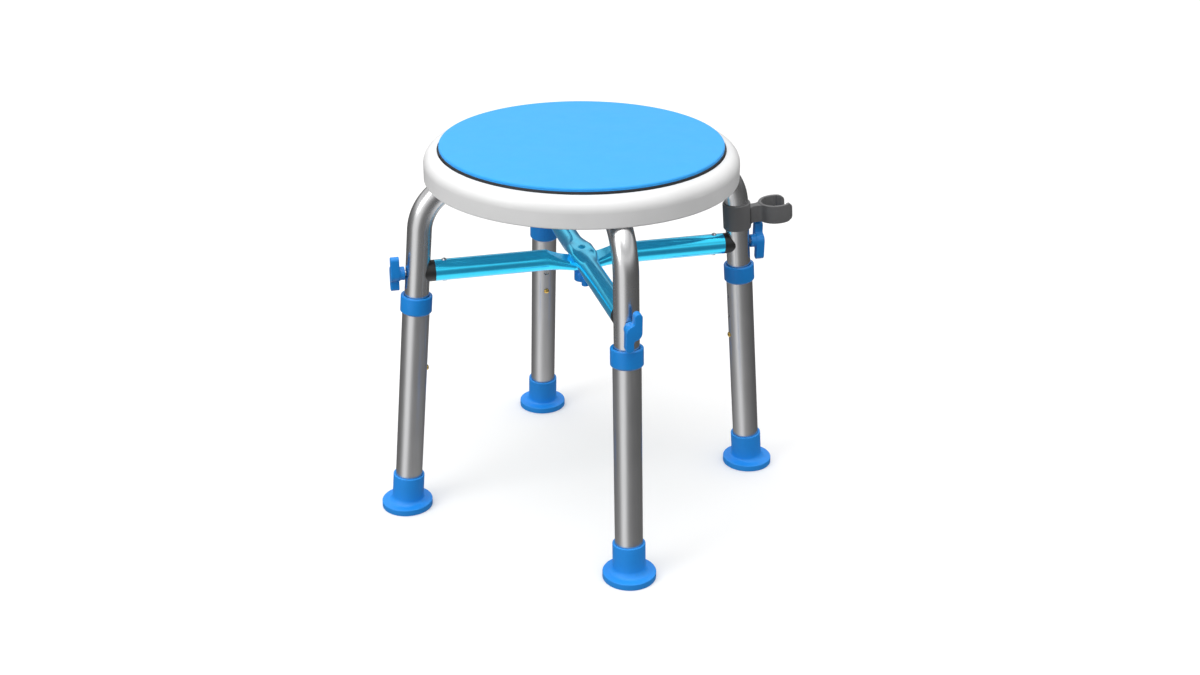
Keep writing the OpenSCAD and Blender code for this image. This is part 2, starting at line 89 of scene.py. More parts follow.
class Finish:
    """A material in the making: a Principled shader, and calls that add texture to it."""

    def __init__(self, name, colour, roughness, metallic=0.0):
        self.material = bpy.data.materials.new(name)
        self.material.use_nodes = True
        self.material.diffuse_color = colour
        self.tree = self.material.node_tree
        self.shader = self.tree.nodes["Principled BSDF"]
        self.shader.inputs["Base Color"].default_value = colour
        self.shader.inputs["Roughness"].default_value = roughness
        self.shader.inputs["Metallic"].default_value = metallic
        self.colour = colour
        self.roughness = roughness
        self.normal = None

    def node(self, kind, **inputs):
        made = self.tree.nodes.new(kind)
        for key, value in inputs.items():
            made.inputs[key.replace("_", " ")].default_value = value
        return made

    def link(self, source, target):
        self.tree.links.new(source, target)

    def place(self, stretch=(1, 1, 1), source="Object"):
        """Texture coordinates in metres, stretched along each axis."""
        coordinate = self.node("ShaderNodeTexCoord")
        mapping = self.node("ShaderNodeMapping", Scale=stretch)
        self.link(coordinate.outputs[source], mapping.inputs["Vector"])
        return mapping.outputs["Vector"]

    def noise(self, scale, detail=3.0, place=None):
        made = self.node("ShaderNodeTexNoise", Scale=scale, Detail=detail)
        self.link(place or self.place(), made.inputs["Vector"])
        return made.outputs["Fac"]

    def cells(self, scale):
        made = self.node("ShaderNodeTexVoronoi", Scale=scale)
        self.link(self.place(), made.inputs["Vector"])
        return made.outputs["Distance"]

    def mottle(self, value, spread):
        """Varies the base colour down and up by a share of itself."""
        made = self.node("ShaderNodeValToRGB")
        dark, light = made.color_ramp.elements
        dark.position, light.position = NOISE_LOW, NOISE_HIGH
        dark.color = shade(self.colour, 1 - spread)
        light.color = shade(self.colour, 1 + spread)
        self.link(value, made.inputs["Fac"])
        self.link(made.outputs["Color"], self.shader.inputs["Base Color"])

    def polish(self, value, spread):
        """Varies the roughness down and up by an amount."""
        made = self.node("ShaderNodeMapRange", From_Min=NOISE_LOW, From_Max=NOISE_HIGH,
                         To_Min=self.roughness - spread, To_Max=self.roughness + spread)
        self.link(value, made.inputs["Value"])
        self.link(made.outputs["Result"], self.shader.inputs["Roughness"])

    def relief(self, value, depth, strength=1.0):
        """Adds bump of a real depth on top of what is there."""
        made = self.node("ShaderNodeBump", Distance=depth, Strength=strength)
        self.link(value, made.inputs["Height"])
        if self.normal is not None:
            self.link(self.normal, made.inputs["Normal"])
        self.normal = made.outputs["Normal"]
        self.link(self.normal, self.shader.inputs["Normal"])

    def worn_edges(self, amount, tone):
        """Blends a tone into the sharp outer edges, over the mottled colour that is there."""
        geometry = self.node("ShaderNodeNewGeometry")
        mask = self.node("ShaderNodeMapRange", From_Min=0.52, From_Max=0.62, To_Max=amount)
        self.link(geometry.outputs["Pointiness"], mask.inputs["Value"])
        mix = self.node("ShaderNodeMix")
        mix.data_type = "RGBA"
        base = self.shader.inputs["Base Color"]
        self.link(mask.outputs["Result"], mix.inputs["Factor"])
        self.link(base.links[0].from_socket, mix.inputs["A"])
        mix.inputs["B"].default_value = tone
        self.link(mix.outputs["Result"], base)


def moulded(name, colour, roughness, grain=900, depth=0.02 * MM, tone=1.35):
    """Moulded plastic: slight flow mottling, uneven gloss, a fine spark texture, paler edges."""
    finish = Finish(name, colour, roughness)
    finish.mottle(finish.noise(14), 0.05)
    finish.polish(finish.noise(60, 5), 0.06)
    finish.relief(finish.noise(grain, 2), depth)
    finish.worn_edges(0.35, shade(colour, tone))
    return finish


def foam(name, colour):
    """Closed-cell foam: fine cells that dent the skin, a soft mottle and a faint bloom."""
    finish = Finish(name, colour, 0.62)
    finish.mottle(finish.noise(90, 4), 0.02)
    finish.polish(finish.noise(30), 0.05)
    finish.relief(finish.cells(620), 0.05 * MM, 0.35)
    finish.relief(finish.noise(28, 2), 0.2 * MM, 0.3)
    finish.shader.inputs["Sheen Weight"].default_value = 0.12
    finish.shader.inputs["Sheen Roughness"].default_value = 0.5
    finish.shader.inputs["Specular IOR Level"].default_value = 0.25
    return finish


def drawn_metal(name, colour, roughness, source="Object", stretch=(400, 400, 5)):
    """Drawn and satin-finished metal: fine lines along the tube, and a faintly cloudy gloss."""
    finish = Finish(name, colour, roughness, 1.0)
    drawn = finish.noise(1, 3, finish.place(stretch, source))
    finish.mottle(drawn, 0.025)
    finish.polish(finish.noise(40, 3), 0.02)
    finish.relief(drawn, 0.004 * MM, 0.3)
    return finish


def turned_metal(name, colour, roughness):
    """Turned or plated hardware: fine scratches and slightly uneven polish."""
    finish = Finish(name, colour, roughness, 1.0)
    finish.mottle(finish.noise(220, 4), 0.08)
    finish.polish(finish.noise(500, 3), 0.06)
    finish.relief(finish.noise(1500, 2), 0.006 * MM, 0.6)
    return finish


def coated_tube(name, colour, painted_glow):
    """Bright metallic lacquer over a drawn tube, under a clear coat, with a slight even emission: a
    painted glow that makes it shine though it is no lamp.
    """
    finish = Finish(name, colour, 0.16, 0.82)
    drawn = finish.noise(1, 3, finish.place((60, 10, 1), "UV"))
    finish.mottle(finish.noise(70, 4), 0.05)
    finish.polish(finish.noise(90, 3), 0.03)
    finish.relief(drawn, 0.02 * MM, 0.3)
    finish.shader.inputs["Coat Weight"].default_value = 0.3
    finish.shader.inputs["Coat Roughness"].default_value = 0.1
    # Painted light: an even emission makes the tube glow, though it is no lamp.
    finish.shader.inputs["Emission Color"].default_value = painted_glow
    finish.shader.inputs["Emission Strength"].default_value = 0.3
    return finish


WHITE = linear(240, 240, 240)
SKY_BLUE = linear(50, 168, 248)
ROYAL_BLUE = linear(18, 143, 233)
CYAN = linear(52, 218, 250)
# Colour of the painted glow: the brace's emission, which makes it shine though it is no lamp.
CYAN_PAINTED_GLOW = linear(30, 116, 186)
ALUMINIUM = linear(212, 212, 213)
BRASS = linear(214, 178, 98)

LOOKS = {
    "white_plastic": moulded("white_plastic", WHITE, 0.34, tone=1.02),
    "blue_foam": foam("blue_foam", SKY_BLUE),
    "dark_plastic": moulded("dark_plastic", linear(48, 50, 54), 0.5),
    "aluminium": drawn_metal("aluminium", ALUMINIUM, 0.3),
    "aluminium_bent": drawn_metal("aluminium_bent", ALUMINIUM, 0.26, "UV", (40, 5, 1)),
    # The brace's look carries the painted glow as well as its own cyan colour.
    "cyan_metal": coated_tube("cyan_metal", CYAN, CYAN_PAINTED_GLOW),
    "blue_plastic": moulded("blue_plastic", ROYAL_BLUE, 0.36),
    "blue_rubber": moulded("blue_rubber", linear(30, 150, 244), 0.5, 1400, 0.02 * MM, 1.2),
    "black_plastic": moulded("black_plastic", linear(38, 38, 38), 0.42),
    "grey_plastic": moulded("grey_plastic", linear(110, 110, 111), 0.46, 1100, 0.03 * MM, 1.25),
    "steel": turned_metal("steel", linear(196, 198, 202), 0.28),
    "chrome": turned_metal("chrome", linear(225, 228, 232), 0.12),
    "brass": turned_metal("brass", BRASS, 0.2),
    "nylon": moulded("nylon", linear(226, 220, 200), 0.5),
}

# CAD nodes that stay in view, by the look that they get
NODE_LOOKS = {
    "white_plastic": ["seat_shell", "leg_socket_frame"],
    "dark_plastic": ["swivel_plate"],
    "steel": ["frame_screws", "leg_bolts", "bearing_lower_race", "bearing_upper_race",
              "pivot_bolt", "pivot_washer", "pivot_nut", "saddle_nuts"],
    "cyan_metal": ["centre_bolt"],
    "chrome": ["bearing_balls", "saddle_pins"],
    "nylon": ["ball_cage"],
}
# The same for nodes that come once for each leg
SIDE_LOOKS = {
    "lower_leg": "aluminium", "height_button": "brass", "brace_saddle": "black_plastic",
    "button_spring": "steel", "knob_stud": "steel",
}
for stem, look in SIDE_LOOKS.items():
    NODE_LOOKS.setdefault(look, []).extend(f"{stem}_{side}" for side in SIDES)


def paint(obj, look):
    obj.data.materials.clear()
    obj.data.materials.append(LOOKS[look].material)


for look, names in NODE_LOOKS.items():
    for name in names:
        paint(nodes[name], look)


# ---------------------------------------------------------------------------------------------
# Mesh building
# ---------------------------------------------------------------------------------------------

def arc(centre, radius, start_deg, end_deg, steps):
    """Points on an arc in a plane, both ends included."""
    angles = [math.radians(start_deg + (end_deg - start_deg) * i / steps) for i in range(steps + 1)]
    return [(centre[0] + radius * math.cos(a), centre[1] + radius * math.sin(a)) for a in angles]


def rounded(corners):
    """A closed outline from (x, y, radius) corners, with an arc at each corner that has a radius."""
    steps = 6
    outline = []
    for i, (x, y, radius) in enumerate(corners):
        here = Vector((x, y))
        back = Vector(corners[i - 1][:2]) - here
        ahead = Vector(corners[(i + 1) % len(corners)][:2]) - here
        if radius == 0:
            outline.append((x, y))
            continue
        half = back.angle(ahead) / 2
        middle = here + (back.normalized() + ahead.normalized()).normalized() * radius / math.sin(half)
        first = here + back.normalized() * radius / math.tan(half) - middle
        turn = (here + ahead.normalized() * radius / math.tan(half) - middle).angle_signed(first)
        for k in range(steps + 1):
            spoke = Matrix.Rotation(turn * k / steps, 2) @ first
            outline.append(tuple(middle + spoke))
    return outline


def loft(name, rings, wrap=True):
    """Mesh through rings of points, with its last ring joined to its first, or else with end caps."""
    mesh = bpy.data.meshes.new(name)
    made = bmesh.new()
    rows = [[made.verts.new(point) for point in ring] for ring in rings]
    uv = made.loops.layers.uv.new("UVMap")
    count = len(rows[0])
    along = [0.0]
    for a, b in zip(rings, rings[1:] + rings[:1]):
        along.append(along[-1] + (Vector(b[0]) - Vector(a[0])).length)
    for i in range(len(rows) if wrap else len(rows) - 1):
        low, high = rows[i], rows[(i + 1) % len(rows)]
        for j in range(count):
            k = (j + 1) % count
            face = made.faces.new((low[j], low[k], high[k], high[j]))
            spots = ((j, i), (j + 1, i), (j + 1, i + 1), (j, i + 1))
            for loop, (around, up) in zip(face.loops, spots):
                loop[uv].uv = (around / count, along[up])
    if not wrap:
        made.faces.new(reversed(rows[0]))
        made.faces.new(rows[-1])
    bmesh.ops.remove_doubles(made, verts=made.verts, dist=1e-7)
    bmesh.ops.recalc_face_normals(made, faces=made.faces)
    made.to_mesh(mesh)
    made.free()
    return mesh


def circle_ring(centre, across, up, radius, count=ROUND):
    """Points round a circle whose plane holds the directions across and up."""
    turns = [2 * math.pi * i / count for i in range(count)]
    return [centre + (across * math.cos(t) + up * math.sin(t)) * radius for t in turns]


def lathe(name, profile, count=ROUND):
    """Mesh turned about z from a closed profile of (radius, height) points."""
    x, y = Vector((1, 0, 0)), Vector((0, 1, 0))
    return loft(name, [circle_ring(Vector((0, 0, z)), x, y, r, count) for r, z in profile])


def slab(name, outline, low, high, bevel, end_round=0.0):
    """Mesh of a smooth outline raised from low to high, with its rims rounded by bevel.

    end_round rounds off the corners of the end that lies farthest along x, seen from the side.
    """
    steps = 5
    points = [Vector(p) for p in outline]
    count = len(points)
    inward = []
    for i in range(count):
        run = points[(i + 1) % count] - points[i - 1]
        inward.append(Vector((-run.y, run.x)).normalized())
    area = sum(points[i - 1].cross(points[i]) for i in range(count))
    if area < 0:
        inward = [-n for n in inward]
    layers = []
    for k in range(steps + 1):
        angle = math.pi / 2 * k / steps
        layers.append((bevel * (1 - math.sin(angle)), low + bevel * (1 - math.cos(angle))))
    layers += [(inset, low + high - z) for inset, z in reversed(layers)]
    rings = [[(p.x + n.x * inset, p.y + n.y * inset, z) for p, n in zip(points, inward)]
             for inset, z in layers]
    mesh = loft(name, rings, wrap=False)
    shaped = bmesh.new()
    shaped.from_mesh(mesh)
    bmesh.ops.triangulate(shaped, faces=[face for face in shaped.faces if len(face.verts) > 4])
    end_x = max(p.x for p in points)
    for vert in shaped.verts:
        run = max(0, end_round - (end_x - vert.co.x))
        trim = end_round - math.sqrt(end_round ** 2 - run ** 2)
        vert.co.z += trim if vert.co.z < (low + high) / 2 else -trim
    shaped.to_mesh(mesh)
    shaped.free()
    return mesh


def add(name, meshes, look, body, replaced, place=None, crease_deg=32):
    """One shown piece from one or more meshes, painted, placed and riding on its body."""
    joined = bmesh.new()
    for mesh in meshes:
        joined.from_mesh(mesh)
    mesh = bpy.data.meshes.new(name)
    joined.to_mesh(mesh)
    joined.free()
    if place is not None:
        mesh.transform(place)
    mesh.shade_smooth()
    mesh.set_sharp_from_angle(angle=math.radians(crease_deg))
    obj = bpy.data.objects.new(name, mesh)
    bpy.context.scene.collection.objects.link(obj)
    paint(obj, look)
    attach(obj, body)
    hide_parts(*replaced)
    return obj


# ---------------------------------------------------------------------------------------------
# Places and sizes, from the frame
# ---------------------------------------------------------------------------------------------

def middle_of(node):
    low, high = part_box(node)
    return (low + high) / 2


def leg_axes(side):
    """The leg's own axes: z up along the leg, x outwards, the origin on the floor."""
    middle = middle_of("foot_" + side)
    foot = Vector((middle.x, middle.y, 0))
    up = -Vector(joints[f"leg_{side}_height"]["axis"])
    sideways = Vector((-foot.y, foot.x, 0)).normalized()
    outwards = sideways.cross(up)
    axes = Matrix((outwards, sideways, up)).transposed().to_4x4()
    return Matrix.Translation(foot) @ axes


def plane_axes(side):
    """Axes of the upright plane that holds a leg: x outwards, z straight up, the seat's axis at 0."""
    middle = middle_of("foot_" + side)
    return Matrix.Rotation(math.atan2(middle.y, middle.x), 4, "Z")


FOOT_OUT = middle_of("foot_right").xy.length
LEG_UP = -Vector(joints["leg_right_height"]["axis"])
TILT = math.acos(LEG_UP.z)
UPPER_R = 12.7 * MM
LOWER_R = 14.3 * MM
TUBE_T = 1.2 * MM
BEND_R = 51.8 * MM
BRACE_R = 11.1 * MM
BRACE_Z = joints["knob_right_turn"]["pos_m"][2]
BORE_GAP = 0.05 * MM  # round the lower tube, in a collar or a foot


def up_leg(height):
    """Distance along a leg to a height above the floor."""
    return height / math.cos(TILT)


def out_at(height):
    """Distance of a leg's axis from the seat's axis at a height."""
    return FOOT_OUT - height * math.tan(TILT)


# ---------------------------------------------------------------------------------------------
# The pieces
# ---------------------------------------------------------------------------------------------

def pad():
    """The foam pad: crowned on top, rounded at its rim and flat underneath."""
    low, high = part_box("swivel_pad")
    radius = (high.x - low.x) / 2
    crown = 0.7 * MM
    shoulder = 1.7 * MM
    foot_round = 0.6 * MM
    tuck = 0.25 * MM
    rim_top = high.z - 0.3 * MM
    flat_r = radius - shoulder
    side_top = rim_top - shoulder
    side_low = low.z + foot_round
    profile = []
    for i in range(24):
        r = flat_r * i / 24
        profile.append((r, rim_top + crown * (1 - (r / flat_r) ** 2)))
    profile += reversed(arc((flat_r, side_top), shoulder, 0, 90, 10))
    profile += [(radius - tuck * math.sin(math.pi * k / 6), side_top - (side_top - side_low) * k / 6)
                for k in range(1, 6)]
    profile += reversed(arc((radius - foot_round, side_low), foot_round, -90, 0, 4))
    profile.append((0, low.z))
    obj = add("pad", [lathe("pad", profile, WIDE_ROUND)], "blue_foam", "swivel_top", ["swivel_pad"])


def upper_leg(side):
    """A leg tube bent at the top, hollow, with its texture running along the bend."""
    name = "upper_leg_" + side
    low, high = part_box(name)
    stub_z = high.z - UPPER_R
    inner_end = 66 * MM
    bend_z = stub_z - BEND_R
    bend_out = out_at(bend_z) - BEND_R / math.cos(TILT)
    start_z = low.z + UPPER_R * math.sin(TILT)
    path = [(Vector((out_at(start_z), 0, start_z)), -TILT)]
    path += [(Vector((bend_out + BEND_R * math.cos(a), 0, bend_z + BEND_R * math.sin(a))), -a)
             for a in (TILT + (math.pi / 2 - TILT) * k / 40 for k in range(41))]
    path.append((Vector((inner_end, 0, stub_z)), -math.pi / 2))
    sideways = Vector((0, 1, 0))

    def ring(spot, turn, radius):
        outwards = Vector((math.cos(turn), 0, -math.sin(turn)))
        return circle_ring(spot, outwards, sideways, radius)

    rings = [ring(spot, turn, UPPER_R) for spot, turn in path]
    rings += [ring(spot, turn, UPPER_R - TUBE_T) for spot, turn in reversed(path)]
    add("leg_tube_" + side, [loft(name, rings)], "aluminium_bent", "frame", [name], plane_axes(side))


def collar(side):
    """The locking collar on top of a lower leg: chamfered below, with a rounded lip above."""
    bottom, top = up_leg(229.3 * MM), up_leg(248.8 * MM)
    bore_top = up_leg(246.5 * MM)
    radius = 16.5 * MM
    chamfer = 1.8 * MM
    bore_r = LOWER_R + BORE_GAP
    lip_r = UPPER_R + 0.4 * MM
    profile = rounded([
        (bore_r, bottom, 0.2 * MM), (radius - chamfer, bottom, 0.8 * MM),
        (radius, bottom + chamfer + 0.1 * MM, 0.9 * MM), (radius, top, 1.25 * MM),
        (lip_r, top, 0.8 * MM), (lip_r, bore_top, 0), (bore_r, bore_top, 0),
    ])
    name = "collar_" + side
    add("clamp_ring_" + side, [lathe(name, profile)], "blue_plastic", "leg_" + side, [name],
        leg_axes(side))


def foot(side):
    """The rubber foot: a flat treaded flange that sweeps up into a sleeve leaning with the leg."""
    name = "foot_" + side
    low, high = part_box(name)
    flange_r = (high.x - low.x) / 2
    flange_h = 7 * MM
    heel_r = 0.6 * MM
    edge_r = 0.9 * MM
    sleeve_r = 16.85 * MM
    sweep_r = 5 * MM
    rim = up_leg(38.5 * MM)
    rim_out_r, rim_in_r = 0.9 * MM, 0.7 * MM
    bore_r = LOWER_R + BORE_GAP
    bore_low = 5 * MM
    tread_w, tread_d, tread_side = 2.2 * MM, 0.8 * MM, 0.25 * MM
    sweep_end = flange_h + 0.2 * MM + sweep_r

    profile = [(0, 0)]
    for near in (9 * MM, 15 * MM, 21 * MM):
        far = near + tread_w
        profile += [(near, 0), (near + tread_side, tread_d), (far - tread_side, tread_d), (far, 0)]
    profile += arc((flange_r - heel_r, heel_r), heel_r, -90, 0, 4)
    profile += arc((flange_r - edge_r, flange_h - edge_r), edge_r, 0, 86, 6)
    profile += arc((sleeve_r + sweep_r, sweep_end), sweep_r, 268, 180, 14)
    profile += [(sleeve_r, sweep_end + (rim - sweep_end) * k / 4) for k in (1, 2, 3)]
    profile += arc((sleeve_r - rim_out_r, rim - rim_out_r), rim_out_r, 0, 90, 6)
    profile += arc((bore_r + rim_in_r, rim - rim_in_r), rim_in_r, 90, 180, 5)
    profile += [(bore_r, bore_low), (0, bore_low)]

    def ring(radius, height):
        share = min(1, max(0, (height - flange_h) / (sweep_end - flange_h)))
        lean = TILT * share * share * (3 - 2 * share)
        up = Vector((-math.sin(lean), 0, math.cos(lean)))
        return circle_ring(up * height, Vector((up.z, 0, -up.x)), Vector((0, 1, 0)), radius)

    middle = middle_of(name)
    place = Matrix.Translation((middle.x, middle.y, 0)) @ plane_axes(side)
    rings = [ring(r, z) for r, z in profile]
    add("rubber_foot_" + side, [loft(name, rings)], "blue_rubber", "leg_" + side, [name], place)


def knob_outline():
    """Two offset arms with round ends on a round hub, filleted where an arm leaves the hub."""
    hub = 8 * MM
    reach = 20 * MM
    end_r = 4 * MM
    fillet = 2.6 * MM
    fillet_y = math.sqrt((hub + fillet) ** 2 - fillet ** 2)
    lean = math.degrees(math.atan2(fillet_y, fillet))
    half = arc((end_r, reach - end_r), end_r, 0, 180, 14)
    half += arc((-fillet, fillet_y), fillet, 0, -lean, 7)
    half += arc((0, 0), hub, 180 - lean, 180, 9)[1:]
    return half + [(-x, -y) for x, y in half]


def knob_meshes(stem):
    """A knob on its own axis: the stem runs from z = 0 to its length, and the bar lies beyond it."""
    bar = 9 * MM
    bar_bevel = 0.8 * MM
    bore_r = 3.1 * MM
    stem_r = 7 * MM
    root_r = stem_r + 0.9 * MM
    root = stem + 0.6 * MM  # the stem's flared end, inside the bar
    stem_profile = rounded([
        (bore_r, 0, 0.2 * MM), (stem_r, 0, 0.9 * MM), (stem_r, stem - 1.2 * MM, 1.4 * MM),
        (root_r, root, 0), (bore_r, root, 0),
    ])
    return [lathe("stem", stem_profile, 64), slab("bar", knob_outline(), stem, stem + bar, bar_bevel)]


def hand_knob(side):
    """A knob on the outside of a leg, with its axis along the brace and its bar upright."""
    leg_gap = 0.9 * MM
    start = out_at(BRACE_Z) + UPPER_R + leg_gap
    bar_start = 194 * MM
    outwards = Matrix(((0, 0, 1), (1, 0, 0), (0, 1, 0))).to_4x4()
    place = plane_axes(side) @ Matrix.Translation((start, 0, BRACE_Z)) @ outwards
    add("wing_knob_" + side, knob_meshes(bar_start - start), "blue_plastic", "knob_" + side,
        ["hand_knob_" + side], place)


def centre_knob():
    """The knob that hangs under the crossing of the brace."""
    stem = 6 * MM
    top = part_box("centre_knob")[1].z
    place = (Matrix.Translation((0, 0, top)) @ Matrix.Rotation(math.pi, 4, "X")
             @ Matrix.Rotation(math.radians(-30), 4, "Z"))
    add("wing_knob_centre", knob_meshes(stem), "blue_plastic", "knob_centre", ["centre_knob"], place)


def brace_section(radius, share):
    """(y, z) points round a brace tube: round at share 0, and pressed up flat at share 1."""
    end_r = radius / 2
    flat_half = radius * math.pi / 4
    bend = math.pi / 2 * end_r
    points = []
    for i in range(ROUND):
        travel = i / ROUND * 4
        quarter, part = int(travel), travel % 1
        sign_y = 1 if quarter in (0, 3) else -1
        sign_z = 1 if quarter in (0, 1) else -1
        if quarter in (1, 3):
            part = 1 - part
        angle = part * math.pi / 2
        round_y, round_z = radius * math.cos(angle), radius * math.sin(angle)
        run = part * (bend + flat_half)
        if run < bend:
            turn = run / end_r
            flat_y, flat_z = flat_half + end_r * math.cos(turn), end_r * math.sin(turn)
        else:
            flat_y, flat_z = flat_half - (run - bend), end_r
        y = sign_y * (round_y + (flat_y - round_y) * share)
        z = sign_z * (round_z + (flat_z - round_z) * share) + end_r * share
        points.append((y, z))
    return points


def brace_tube(node, turn_deg, flip):
    """A brace tube whose middle is pressed up, with a creased facet under each end of the press."""
    end = 157 * MM
    crimp_out, crimp_in = 38.5 * MM, 11 * MM
    facet_depth = 2.4 * MM

    def ring(x, shrink):
        share = min(1, max(0, (crimp_out - abs(x)) / (crimp_out - crimp_in)))
        facet = -BRACE_R * (1 - share) + facet_depth * math.sin(math.pi * share) ** 0.6
        section = brace_section(BRACE_R, share)
        if 0 < share < 1:
            section = [(y, max(z, facet)) for y, z in section]
        middle = (max(z for y, z in section) + min(z for y, z in section)) / 2
        half_y = max(y for y, z in section)
        half_z = max(z for y, z in section) - middle
        return [Vector((x, y * (1 - shrink / half_y), middle + (z - middle) * (1 - shrink / half_z)))
                for y, z in section]

    spots = [-end, -end * 0.6]
    crimp = [crimp_out - (crimp_out - crimp_in) * k / 28 for k in range(29)]
    spots += [-x for x in crimp] + [0] + list(reversed(crimp))
    spots += [end * 0.6, end]
    rings = [ring(x, 0) for x in spots] + [ring(x, TUBE_T) for x in reversed(spots)]
    place = Matrix.Translation((0, 0, BRACE_Z)) @ Matrix.Rotation(math.radians(turn_deg), 4, "Z")
    if flip:
        place = place @ Matrix.Rotation(math.pi, 4, "X")
    add(node.replace("tube", "bar"), [loft(node, rings)], "cyan_metal", "frame", [node], place,
        crease_deg=16)


def clip_outline(inner, wall, mouth_deg):
    """The open clip seen along the leg: a ring with a mouth, round lips and shallow grooves inside."""
    lip = 2.5 * MM
    lip_deg = mouth_deg / 2 + 4
    lip_at = inner + wall / 2 + 0.4 * MM
    upper = Vector((lip_at * math.cos(math.radians(lip_deg)), lip_at * math.sin(math.radians(lip_deg))))
    start_deg, end_deg = lip_deg + 9, 351 - lip_deg
    grooves_deg = (68, 116, 244, 292)
    groove_depth, groove_half_deg = 0.9 * MM, 7
    steps = 240
    outside = arc((0, 0), inner + wall, start_deg, end_deg, 72)
    inside = []
    for i in range(steps + 1):
        deg = end_deg - (end_deg - start_deg) * i / steps
        off = min(1, min(abs(deg - groove) for groove in grooves_deg) / groove_half_deg)
        r = inner + groove_depth * (1 + math.cos(math.pi * off)) / 2
        inside.append((r * math.cos(math.radians(deg)), r * math.sin(math.radians(deg))))
    lower_lip = arc((upper.x, -upper.y), lip, -lip_deg - 80, -lip_deg + 190, 16)
    upper_lip = arc(upper, lip, lip_deg - 190, lip_deg + 80, 16)
    return outside + lower_lip + inside + upper_lip


def holder():
    """The handset holder: a sleeve on the right leg, a waisted neck and the open clip."""
    sleeve_low, sleeve_high = up_leg(291 * MM), up_leg(319.5 * MM)
    reach = 44.1 * MM
    clip_low = up_leg(298 * MM) - reach * math.tan(TILT)
    clip_h = 20 * MM
    inner, wall = 15 * MM, 3.4 * MM
    bore = UPPER_R + 0.1 * MM
    sleeve_r = 15 * MM
    sleeve = lathe("sleeve", rounded([
        (bore, sleeve_low, 0.5 * MM), (sleeve_r, sleeve_low, 0.9 * MM),
        (sleeve_r, sleeve_high, 0.9 * MM), (bore, sleeve_high, 0.5 * MM),
    ]))
    clip = slab("clip", clip_outline(inner, wall, 80), clip_low, clip_low + clip_h, 0.6 * MM,
                end_round=6.5 * MM)
    clip.transform(Matrix.Translation((reach, 0, 0)))

    waist = 4.6 * MM
    spread = 4.2 * MM
    step_in = 0.6 * MM
    near, far = 12.9 * MM, reach - inner - 1.2 * MM
    centre = (near + far) / 2
    edge = [near + (far - near) * k / 24 for k in range(25)]
    upper = [(x, waist + spread * abs((x - centre) / (centre - near)) ** 3) for x in edge]
    neck = slab("neck", upper + [(x, -y) for x, y in reversed(upper)],
                clip_low + step_in, clip_low + clip_h - step_in, 0.5 * MM)
    add("shower_clip", [sleeve, clip, neck], "grey_plastic", "holder", ["handset_holder"],
        leg_axes("right"))


pad()
for side in SIDES:
    upper_leg(side)
    collar(side)
    foot(side)
    hand_knob(side)
centre_knob()
brace_tube("brace_tube_upper", -45, False)
brace_tube("brace_tube_lower", 45, True)
holder()


# ---------------------------------------------------------------------------------------------
# Studio
# ---------------------------------------------------------------------------------------------

VIEW_TURN = math.radians(30.753)
VIEW_DISTANCE = 1.5258
VIEW_HEIGHT = 0.8865
VIEW_PITCH, VIEW_YAW, VIEW_ROLL = -0.434, 0.013, 0.006
SENSOR_MM, LENS_MM = 36, 46.54

FLOOR_HALF = 30.0
FLOOR_COLOUR = (0.885, 0.88, 0.875, 1)
FLOOR_GLOW_NEAR, FLOOR_GLOW_FAR = 0.14, 0.5
FLOOR_NEAR, FLOOR_FAR = 1.0, 3.5

# The world's panel and room, as (share, level) stops. For the panel the share is 1 towards its middle
# and 0 away from it. For the room it is 0 straight down, 0.5 at the horizon and 1 overhead.
PANEL_LEFT_DEG = 37
PANEL_RISE = -0.17
PANEL_ACROSS = 0.985
PANEL = [(0.0, 0.07), (0.45, 0.11), (0.75, 0.15), (0.88, 0.2), (0.945, 0.45), (0.98, 1.1), (1.0, 1.35)]
ROOM_REFLECTED = [(0.0, 1.0), (0.1, 1.0), (0.17, 0.6), (0.22, 0.02), (0.45, 0.0), (0.6, 0.08),
                  (0.69, 1.1), (0.77, 0.2), (0.87, 0.9), (1.0, 1.6)]
ROOM_LIGHT = [(0.0, 0.1), (0.35, 0.17), (0.5, 0.33), (0.6, 0.42), (0.8, 1.1), (1.0, 2.0)]


def camera():
    made = bpy.data.objects.new("camera", bpy.data.cameras.new("camera"))
    bpy.context.scene.collection.objects.link(made)
    made.data.sensor_width = SENSOR_MM
    made.data.lens = LENS_MM
    spot = Matrix.Rotation(VIEW_TURN, 4, "Z") @ Vector((0, -VIEW_DISTANCE, VIEW_HEIGHT))
    made.matrix_world = (Matrix.Translation(spot) @ Matrix.Rotation(VIEW_TURN - VIEW_YAW, 4, "Z")
                         @ Matrix.Rotation(math.pi / 2 + VIEW_PITCH, 4, "X")
                         @ Matrix.Rotation(VIEW_ROLL, 4, "Z"))
    bpy.context.scene.camera = made


def floor():
    """A large pale floor that runs into the white background.

    Only the camera sees it: what it throws back at the stool is in the world.
    """
    half = FLOOR_HALF
    corners = [(-half, -half, 0), (half, -half, 0), (half, half, 0), (-half, half, 0)]
    mesh = bpy.data.meshes.new("floor")
    mesh.from_pydata(corners, [], [(0, 1, 2, 3)])
    made = bpy.data.objects.new("floor", mesh)
    bpy.context.scene.collection.objects.link(made)
    finish = Finish("floor", FLOOR_COLOUR, 0.9)
    finish.mottle(finish.noise(3), 0.01)
    finish.shader.inputs["Specular IOR Level"].default_value = 0.0
    finish.shader.inputs["Emission Color"].default_value = (1, 1, 1, 1)
    away = finish.node("ShaderNodeVectorMath")
    away.operation = "LENGTH"
    finish.link(finish.place(), away.inputs[0])
    lift = finish.node("ShaderNodeMapRange", From_Min=FLOOR_NEAR, From_Max=FLOOR_FAR,
                       To_Min=FLOOR_GLOW_NEAR, To_Max=FLOOR_GLOW_FAR)
    finish.link(away.outputs["Value"], lift.inputs["Value"])
    finish.link(lift.outputs["Result"], finish.shader.inputs["Emission Strength"])
    mesh.materials.append(finish.material)
    made.visible_glossy = False
    made.visible_diffuse = False


